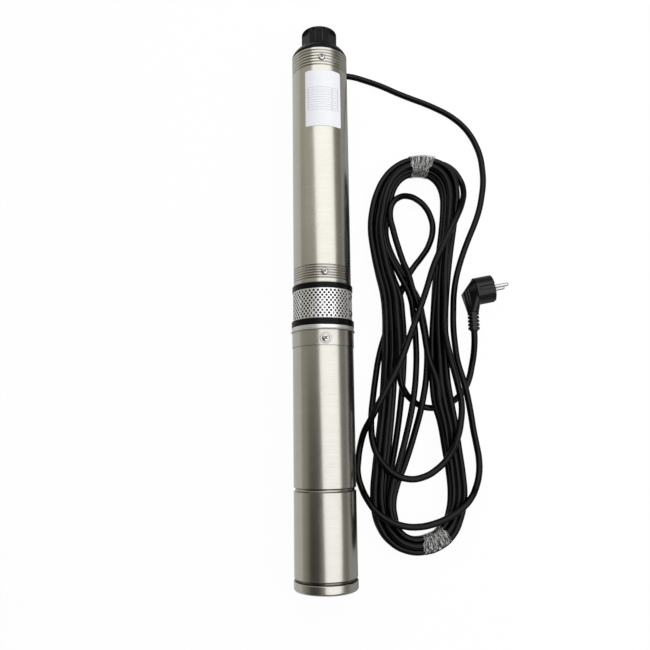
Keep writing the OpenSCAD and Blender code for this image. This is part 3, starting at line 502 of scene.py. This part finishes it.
# The slack length: from the hank's right side through a small loop, under the left side and back
backLoop = [
    (136, -78, 19.5), (131.5, -42, 17.5), (126, -11, 17.5), (118.5, 11, 22), (112.5, 32, 26.5),
    (107, 46, 27.4), (100.5, 68, 27.4), (95, 91, 27.6), (91.5, 112, 28), (95, 127.5, 27.5),
    (104.8, 138, 23.5), (118, 142, 17), (131, 139, 10.8), (142, 130.5, 6.2), (149, 117, 4.5),
    (151.5, 100, low), (145, 76, 5.5), (133, 57, 11), (121.5, 42, 16.8), (113.5, 29.5, 17.6),
    (107.5, 17, 12.6), (102, 3, 5.8), (96, -13, low), (88, -32, low), (80, -52, low), (73, -76, low),
    (68, -102, low), (64, -128, 5), (61, -150, 7.5), (60, -170, 13), (61, -185, 20), (65, -200, 26.5),
    (73, -213, 28), (86, -225, 27.5), (102, -231.5, 27), (121, -230, 27), (141, -219, 27.5),
    (156, -203, 29), (166, -182, 31.5), (172, -160, 29), (174, -140, 27), (171, -120, 28), (166, -100, 32),
    (162, -78, 29)]
# The last length: from the hank's left side under the slack strands and the right side to the plug
lastRun = [(97, -90, 26.5), (99, -110, 20), (105, -123, 13), (113.5, -132.5, 7.5), (124, -139.5, 4.8),
           (136, -143, low), (149, -142, low)]
# Hank stations from the top, anticlockwise: outer and inner edge
hank = [
    ((138, 199), (134, 172)), ((120, 197), (123, 171)), ((101, 188), (112.5, 165.5)),
    ((85, 172), (104.5, 155)), ((73, 149), (99, 138.5)), ((66, 124), (95, 115)), ((63, 96), (91, 92)),
    ((66, 66), (93, 63)), ((71, 36), (97.5, 32)), ((76, 8), (103, 4)), ((78, -20), (104, -22)),
    ((77, -55), (105, -55)), ((75, -95), (103, -93)), ((71, -140), (99, -136)), ((65, -185), (94, -180)),
    ((60, -220), (89, -216)), ((57, -248), (86, -244)), ((58, -271), (87, -263)),
    ((64, -292), (90.5, -277)), ((77, -310), (94, -291)), ((97, -321), (105, -299.7)),
    ((119, -323), (119.8, -300.3)), ((141, -317), (133.8, -295.5)), ((159, -303), (144.1, -284.9)),
    ((171, -281), (150, -270)), ((177, -255), (153, -252)), ((176.5, -228), (152.5, -225)),
    ((173.5, -200), (149, -196)), ((169, -165), (143.5, -161)), ((166, -138), (138, -140)),
    ((164, -110), (136, -112)), ((165.5, -80), (137, -80)), ((166.5, -45), (138, -44)),
    ((169, -5), (141.5, -2)), ((172.5, 30), (146, 35)), ((177, 64), (152, 69)), ((182.5, 97), (157, 100)),
    ((187, 126), (160, 125)), ((188.5, 150), (160.5, 143)), ((184, 172), (157, 156.5)),
    ((172, 188), (151, 165)), ((155, 196.5), (143.5, 170))]
# By station: how far slack strands hang in, how far all strands and how far slack strands lift over others
hangs = {7: 0.14, 8: 0.52, 9: 0.82, 10: 0.93, 11: 0.99, 12: 1, 13: 0.9, 14: 0.7, 15: 0.46, 16: 0.2, 17: 0.06}
lifts = {8: 0.4, 9: 1, 10: 1, 11: 0.95, 12: 0.25, 27: 0.15, 28: 0.85, 29: 1, 30: 0.75, 31: 0.1}
slackLifts = {12: 0.5, 13: 1, 14: 0.3}
# Each turn's lane, from 0 at the outer edge to laneWidth at the inner one, and its layer
laneWidth = 21.25
lanes = [(0, 0), (8.5, 0), (17, 0), (21.25, 1), (12.75, 1), (4.25, 1), (0, 2), (8.5, 2), (17, 2)]
# Strands that hang in at the waist: how far, how soon they leave their layer and the lift, their own lift
slack = {2: (9, 3, 20, 0), 3: (35, 1, 0.3, 1.3), 8: (26, 3, 6, 1.3)}
gather = {"from": 17.6, "to": 24.4, "over": 1.9, "row": 0.9, "rise": 4.15}  # columns at the lower tie
shift = {"from": 31, "sooner": 2.3, "over": 10}  # upper layers make room first
sway = ((0.7, 12, 0), (0.5, 19, 1))  # no strand lies quite even: size in mm, pace, start
topTurn = {"leave": 30, "rejoin": 32, "lanes": (6, 12.5, 17), "over": (4, 7), "again": 5, "end": 12,
           "layer": 3.05}


def ease(part):
    part = max(0.0, min(1.0, part))
    return part * part * (3 - 2 * part)


def waves(rows, at):
    # a sum of sines, each with its size, pace and start
    return sum(size * math.sin(pace * at + start) for size, pace, start in rows)


def hankPoint(turn, station, lane, layer):
    # where a turn's strand lies at a station, in mm
    outer, inner = [Vector(edge) for edge in hank[station]]
    hang, lift = hangs.get(station, 0), lifts.get(station, 0)
    wide = (inner - outer).length
    tight = ease((station - gather["from"]) / gather["over"])
    tight *= ease((gather["to"] - station) / gather["over"])
    column = round(2 * lane / laneWidth)
    lane += (column * laneWidth / 2 - lane) * tight
    wander = waves(sway, turn + station / len(hank))
    reach = lead["radius"] + (wide - 2 * lead["radius"]) * lane / laneWidth + wander
    height = low + lead["layer"] * layer + tight * (gather["row"] * layer + gather["rise"] * (column == 1))
    if turn in slack:
        swing, drop, hold, own = slack[turn]
        reach += swing * hang
        height = low + (height - low) * (1 - hang ** drop)
        lift = max(lift * (1 - hang ** hold), slackLifts.get(station, 0) * own)
    place = outer + (inner - outer) / wide * reach
    return (place.x, place.y, height + lead["lift"] * lift)


def wholeTurn(turn):
    # one turn of the hank; towards its end it moves over to the next turn's lane
    points = []
    (lane, layer), (nextLane, nextLayer) = lanes[turn], lanes[turn + 1]
    start = shift["from"] - shift["sooner"] * layer
    for station in range(len(hank)):
        move = ease((station - start) / shift["over"])
        here = (lane + (nextLane - lane) * move, layer + (nextLayer - layer) * move)
        points.append(hankPoint(turn, station, *here))
    return points


route = list(looseRun)
last = len(lanes) - 1
for turn in range(last):
    route += wholeTurn(turn)
route += [hankPoint(last, station, *lanes[last]) for station in range(topTurn["leave"] + 1)]
route += backLoop
first, second, third = topTurn["lanes"]
for station in range(topTurn["rejoin"], len(hank)):
    move = ease((station - topTurn["rejoin"]) / topTurn["over"][0])
    route.append(hankPoint(last + 1, station, first + (second - first) * move, topTurn["layer"]))
for station in range(topTurn["end"]):
    move = ease((station - topTurn["again"]) / topTurn["over"][1])
    route.append(hankPoint(last + 1, station, second + (third - second) * move, topTurn["layer"]))
route += lastRun + plugRun

# The cable ends inside the plug's boot, which stands where the frame has it
plug = {"at": (224, 11.5), "turn": 10.4, "back": 32.3, "boot": 27, "bend": 10.4, "length": 24.3, "seat": 6,
        "middle": 18, "before": 3, "short": 0.3}
plugTurn = math.radians(plug["turn"])
bootTurn = plugTurn - math.radians(plug["bend"])
bootBase = Vector((plug["at"][0] - plug["back"] * math.cos(plugTurn) + plug["boot"] * math.sin(plugTurn),
                   plug["at"][1] - plug["back"] * math.sin(plugTurn) - plug["boot"] * math.cos(plugTurn),
                   plug["middle"]))
bootWay = Vector((math.sin(bootTurn), -math.cos(bootTurn), 0))
for reach in (plug["length"] + plug["before"], plug["length"] - plug["seat"] + plug["short"]):
    route.append(tuple(bootBase + bootWay * reach))

bpy.ops.curve.primitive_bezier_curve_add()
cable = bpy.context.object
cable.name = "power_cable"
line = cable.data.splines[0]
line.bezier_points.add(len(route) - len(line.bezier_points))
for knot, place in zip(line.bezier_points, route):
    knot.co = Vector(place) * mm
    knot.handle_left_type = knot.handle_right_type = "AUTO"
cable.data.dimensions = "3D"
cable.data.bevel_depth = lead["radius"] * mm
cable.data.bevel_resolution = lead["around"]
cable.data.resolution_u = lead["steps"]
cable.data.use_fill_caps = True
cable.data.materials.append(finishes["cable"])
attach(cable, "pump")
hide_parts("cord_run", "cord_hank", "cord_plug_lead")
cableLength = sum((Vector(a) - Vector(b)).length for a, b in zip(route, route[1:])) * mm
print("cable laid:", len(route), "points,", round(cableLength, 2), "m")

# Film wraps round the hank: a thin sleeve of pleated film that follows the strands
wraps = {"top": {"from": 40.95, "to": 42.95, "height": 32}, "low": {"from": 21.0, "to": 22.75, "height": 30}}
film = {"wall": 0.25, "loose": 0.5, "pleat": 0.35, "pleats": 34, "square": 2.7, "sides": 72, "rings": 32,
        "ragged": ((0.06, 5, 0), (0.04, 11, 1)), "crease": 1.2, "creaseSize": 5, "under": 0.4, "lowest": 0.2}
creases = bpy.data.textures.new("filmCreases", "CLOUDS")
creases.noise_scale = film["creaseSize"] * mm
creases.noise_depth = 2


def alongHank(place):
    # the hank's outer and inner edge between two stations
    first = int(place)
    part = place - first
    here, there = hank[first % len(hank)], hank[(first + 1) % len(hank)]
    return [Vector(a).lerp(Vector(b), part) for a, b in zip(here, there)]


wrapPieces = []
for wrap in wraps.values():
    deselect()
    bpy.ops.mesh.primitive_cylinder_add(vertices=film["sides"], radius=1, depth=2, end_fill_type="NOTHING")
    piece = bpy.context.object
    bpy.ops.object.mode_set(mode="EDIT")
    bpy.ops.mesh.select_all(action="SELECT")
    bpy.ops.transform.rotate(value=math.radians(90), orient_axis="Y", center_override=(0, 0, 0))
    for cut in range(1, film["rings"]):
        bpy.ops.mesh.select_all(action="SELECT")
        bpy.ops.mesh.bisect(plane_co=(-1 + 2 * cut / film["rings"], 0, 0), plane_no=(1, 0, 0))
    bpy.ops.object.mode_set(mode="OBJECT")
    chart = piece.data.uv_layers.new(name="filmMap")
    for loop in piece.data.loops:
        spot = piece.data.vertices[loop.vertex_index].co
        chart.data[loop.index].uv = (spot.x / 2 + 0.5, math.atan2(spot.z, spot.y) / (2 * math.pi) + 0.5)
    for vertex in piece.data.vertices:
        x, y, z = vertex.co
        around = math.atan2(z, y)
        ragged = waves(film["ragged"], around)
        onWrap = 0.5 + 0.5 * (x + ragged * x * abs(x))
        outer, inner = alongHank(wrap["from"] + (wrap["to"] - wrap["from"]) * onWrap)
        middle, reach = (outer + inner) / 2, (outer - inner) / 2
        pleat = film["pleat"] / reach.length * math.sin(film["pleats"] * x + 2 * math.sin(3 * around))
        grown = 1 + film["loose"] / reach.length + pleat
        side = math.copysign(abs(y) ** (2 / film["square"]), y) * grown
        rise = wrap["height"] / 2 * (1 + math.copysign(abs(z) ** (2 / film["square"]), z) * grown)
        spot = middle + reach * side
        vertex.co = Vector((spot.x, spot.y, max(film["under"], rise))) * mm
    crumple = piece.modifiers.new("creased", "DISPLACE")
    crumple.texture = creases
    crumple.texture_coords = "LOCAL"
    crumple.strength = film["crease"] * mm
    crumple.mid_level = 0.4
    skin = piece.modifiers.new("film", "SOLIDIFY")
    skin.thickness = film["wall"] * mm
    skin.offset = 1
    applyAll(piece)
    wrapPieces.append(piece)
deselect()
for piece in wrapPieces:
    piece.select_set(True)
bpy.context.view_layer.objects.active = wrapPieces[0]
bpy.ops.object.join()
filmWraps = settle(bpy.context.object, "film_wraps", "film")
for vertex in filmWraps.data.vertices:
    vertex.co.z = max(film["lowest"] * mm, vertex.co.z)
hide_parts("film_ties")
print("film wraps made")

# Plug and boot: the CAD forms softened like mouldings
soft = {"plug_body": {"name": "plug_moulding", "slot": "black_plastic", "grain": 0.5, "passes": 8},
        "plug_boot": {"name": "plug_strain_relief", "slot": "cable_rubber", "grain": 0.4, "passes": 4}}
for node, look in soft.items():
    piece = copyNode(node)
    remesh = piece.modifiers.new("moulded", "REMESH")
    remesh.mode = "VOXEL"
    remesh.voxel_size = look["grain"] * mm
    smooth = piece.modifiers.new("soft", "SMOOTH")
    smooth.factor = 0.5
    smooth.iterations = look["passes"]
    settle(piece, look["name"], "plug")
    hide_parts(node)
print("plug made")

# Blank label on the sleeve, laid over its curve
label = {"from": 569, "to": 645.5, "left": -18.4, "right": 26.6, "corner": 2.6, "cornerSteps": 5, "above": 12,
         "stand": 0.1, "thick": 0.14, "columns": 60, "rows": 8}
deselect()
bpy.ops.mesh.primitive_plane_add(size=1)
sticker = bpy.context.object
wide, tall = label["right"] - label["left"], label["to"] - label["from"]
centre = pumpStart + alongPump * ((label["from"] + label["to"]) / 2)
centre = (centre + abovePump * (pump["sleeveRadius"] + label["above"])) * mm
centre.x = (label["left"] + label["right"]) / 2 * mm
bpy.ops.object.mode_set(mode="EDIT")
bpy.ops.mesh.select_all(action="SELECT")
bpy.ops.transform.resize(value=(wide * mm, tall * mm, 1))
bpy.ops.mesh.bevel(offset=label["corner"] * mm, segments=label["cornerSteps"], affect="VERTICES")
for cut in range(1, label["columns"]):
    bpy.ops.mesh.select_all(action="SELECT")
    bpy.ops.mesh.bisect(plane_co=((cut / label["columns"] - 0.5) * wide * mm, 0, 0), plane_no=(1, 0, 0))
for cut in range(1, label["rows"]):
    bpy.ops.mesh.select_all(action="SELECT")
    bpy.ops.mesh.bisect(plane_co=(0, (cut / label["rows"] - 0.5) * tall * mm, 0), plane_no=(0, 1, 0))
bpy.ops.object.mode_set(mode="OBJECT")
chart = sticker.data.uv_layers.new(name="labelMap")
for loop in sticker.data.loops:
    spot = sticker.data.vertices[loop.vertex_index].co
    chart.data[loop.index].uv = (spot.x / (wide * mm) + 0.5, spot.y / (tall * mm) + 0.5)
sticker.data.transform(Matrix.Translation(centre) @ Matrix.Rotation(lean, 4, "X"))
drape = sticker.modifiers.new("laidOn", "SHRINKWRAP")
drape.target = nodes["pump_sleeve"]
drape.wrap_method = "PROJECT"
drape.use_project_z = True
drape.use_negative_direction = True
drape.use_positive_direction = False
drape.offset = label["stand"] * mm
thick = sticker.modifiers.new("paper", "SOLIDIFY")
thick.thickness = label["thick"] * mm
thick.offset = 1
settle(sticker, "blank_label", "label")
print("label laid on")
